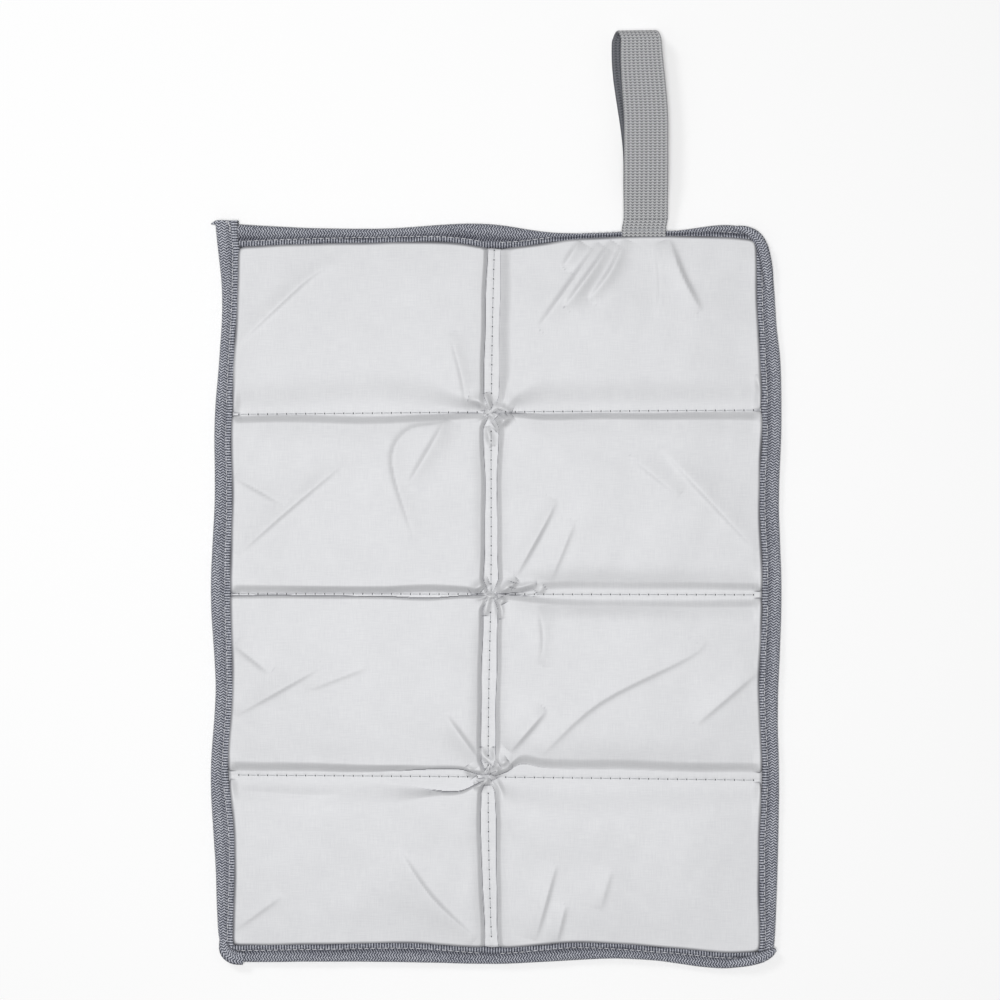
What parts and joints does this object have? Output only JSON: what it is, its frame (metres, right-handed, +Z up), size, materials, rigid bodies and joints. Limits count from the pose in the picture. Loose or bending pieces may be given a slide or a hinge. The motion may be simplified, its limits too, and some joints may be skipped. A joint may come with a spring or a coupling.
{
  "type": "folding foam seat pad",
  "caption": "Folding quilted foam sit pad: padded panels in two columns, fabric fold lines, taped edge and an elastic strap loop that holds it folded.",
  "frame": {"origin": "middle of the footprint (pad and loop together) at floor level", "axes": "+Y along the four rows towards the elastic loop, +X across the two columns, +Z up out of the sitting face"},
  "size_m": [0.3, 0.489, 0.0082],
  "materials": {
    "cover": "plain weave, slight silver sheen",
    "foam": "closed-cell foam, matte",
    "edge_tape": "ribbed tape, matte",
    "elastic": "ribbed elastic webbing",
    "thread": "polyester thread"
  },
  "bodies": {
    "panel_left_1": {"foam_left_1": "foam", "top_cover_left_1": "cover", "bottom_cover_left_1": "cover", "edge_tape_left_1": "edge_tape", "centre_stitch_1": "thread"},
    "panel_left_2": {"foam_left_2": "foam", "top_cover_left_2": "cover", "bottom_cover_left_2": "cover", "edge_tape_left_2": "edge_tape", "centre_stitch_2": "thread"},
    "panel_left_3": {"foam_left_3": "foam", "top_cover_left_3": "cover", "bottom_cover_left_3": "cover", "edge_tape_left_3": "edge_tape", "centre_stitch_3": "thread"},
    "panel_left_4": {"foam_left_4": "foam", "top_cover_left_4": "cover", "bottom_cover_left_4": "cover", "edge_tape_left_4": "edge_tape", "centre_stitch_4": "thread"},
    "seam_left_1": {"channel_left_1": "cover", "channel_tape_left_1": "edge_tape", "row_stitch_left_1": "thread"},
    "seam_left_2": {"channel_left_2": "cover", "channel_tape_left_2": "edge_tape", "row_stitch_left_2": "thread"},
    "seam_left_3": {"channel_left_3": "cover", "channel_tape_left_3": "edge_tape", "row_stitch_left_3": "thread"},
    "panel_right_1": {"foam_right_1": "foam", "top_cover_right_1": "cover", "bottom_cover_right_1": "cover", "edge_tape_right_1": "edge_tape", "loop_root": "elastic", "bartack": "thread"},
    "panel_right_2": {"foam_right_2": "foam", "top_cover_right_2": "cover", "bottom_cover_right_2": "cover", "edge_tape_right_2": "edge_tape"},
    "panel_right_3": {"foam_right_3": "foam", "top_cover_right_3": "cover", "bottom_cover_right_3": "cover", "edge_tape_right_3": "edge_tape"},
    "panel_right_4": {"foam_right_4": "foam", "top_cover_right_4": "cover", "bottom_cover_right_4": "cover", "edge_tape_right_4": "edge_tape"},
    "seam_right_1": {"channel_right_1": "cover", "channel_tape_right_1": "edge_tape", "row_stitch_right_1": "thread"},
    "seam_right_2": {"channel_right_2": "cover", "channel_tape_right_2": "edge_tape", "row_stitch_right_2": "thread"},
    "seam_right_3": {"channel_right_3": "cover", "channel_tape_right_3": "edge_tape", "row_stitch_right_3": "thread"},
    "loop": {"elastic_loop": "elastic"}
  },
  "joints": [
    {"name": "row_fold", "type": "hinge", "parent": "panel_left_4", "child": "seam_left_3", "pos_m": [-0.075, -0.1492, 0.0086], "axis": [1, 0, 0], "range_deg": [0, 90]},
    {"name": "row_fold_3_upper", "type": "hinge", "parent": "seam_left_3", "child": "panel_left_3", "pos_m": [-0.075, -0.1428, 0.0086], "axis": [1, 0, 0], "range_deg": [0, 90]},
    {"name": "row_fold_2_lower", "type": "hinge", "parent": "panel_left_3", "child": "seam_left_2", "pos_m": [-0.075, -0.0535, 0.0028], "axis": [-1, 0, 0], "range_deg": [0, 90]},
    {"name": "row_fold_2_upper", "type": "hinge", "parent": "seam_left_2", "child": "panel_left_2", "pos_m": [-0.075, -0.0475, 0.0028], "axis": [-1, 0, 0], "range_deg": [0, 90]},
    {"name": "row_fold_1_lower", "type": "hinge", "parent": "panel_left_2", "child": "seam_left_1", "pos_m": [-0.075, 0.0418, 0.0086], "axis": [1, 0, 0], "range_deg": [0, 90]},
    {"name": "row_fold_1_upper", "type": "hinge", "parent": "seam_left_1", "child": "panel_left_1", "pos_m": [-0.075, 0.0482, 0.0086], "axis": [1, 0, 0], "range_deg": [0, 90]},
    {"name": "centre_fold", "type": "hinge", "parent": "panel_left_4", "child": "panel_right_4", "pos_m": [-0.003, -0.1975, 0.0058], "axis": [0, -1, 0], "range_deg": [0, 180]},
    {"name": "centre_fold_row_3", "type": "hinge", "parent": "panel_left_3", "child": "panel_right_3", "pos_m": [-0.003, -0.098, 0.0058], "axis": [0, -1, 0], "range_deg": [0, 180]},
    {"name": "centre_fold_row_2", "type": "hinge", "parent": "panel_left_2", "child": "panel_right_2", "pos_m": [-0.003, -0.0025, 0.0058], "axis": [0, -1, 0], "range_deg": [0, 180]},
    {"name": "centre_fold_row_1", "type": "hinge", "parent": "panel_left_1", "child": "panel_right_1", "pos_m": [-0.003, 0.0975, 0.0058], "axis": [0, -1, 0], "range_deg": [0, 180]},
    {"name": "centre_fold_seam_3", "type": "hinge", "parent": "seam_left_3", "child": "seam_right_3", "pos_m": [-0.003, -0.146, 0.0058], "axis": [0, -1, 0], "range_deg": [0, 180]},
    {"name": "centre_fold_seam_2", "type": "hinge", "parent": "seam_left_2", "child": "seam_right_2", "pos_m": [-0.003, -0.0505, 0.0058], "axis": [0, -1, 0], "range_deg": [0, 180]},
    {"name": "centre_fold_seam_1", "type": "hinge", "parent": "seam_left_1", "child": "seam_right_1", "pos_m": [-0.003, 0.045, 0.0058], "axis": [0, -1, 0], "range_deg": [0, 180]},
    {"name": "loop_swing", "type": "hinge", "parent": "panel_right_1", "child": "loop", "pos_m": [0.0775, 0.1475, 0.0066], "axis": [1, 0, 0], "range_deg": [0, 90]}
  ],
  "couplings": [
    {"joint": "row_fold_3_upper", "follows": "row_fold", "ratio": 1},
    {"joint": "row_fold_2_lower", "follows": "row_fold", "ratio": 1},
    {"joint": "row_fold_2_upper", "follows": "row_fold", "ratio": 1},
    {"joint": "row_fold_1_lower", "follows": "row_fold", "ratio": 1},
    {"joint": "row_fold_1_upper", "follows": "row_fold", "ratio": 1},
    {"joint": "centre_fold_row_3", "follows": "centre_fold", "ratio": 1},
    {"joint": "centre_fold_row_2", "follows": "centre_fold", "ratio": 1},
    {"joint": "centre_fold_row_1", "follows": "centre_fold", "ratio": 1},
    {"joint": "centre_fold_seam_3", "follows": "centre_fold", "ratio": 1},
    {"joint": "centre_fold_seam_2", "follows": "centre_fold", "ratio": 1},
    {"joint": "centre_fold_seam_1", "follows": "centre_fold", "ratio": 1}
  ]
}
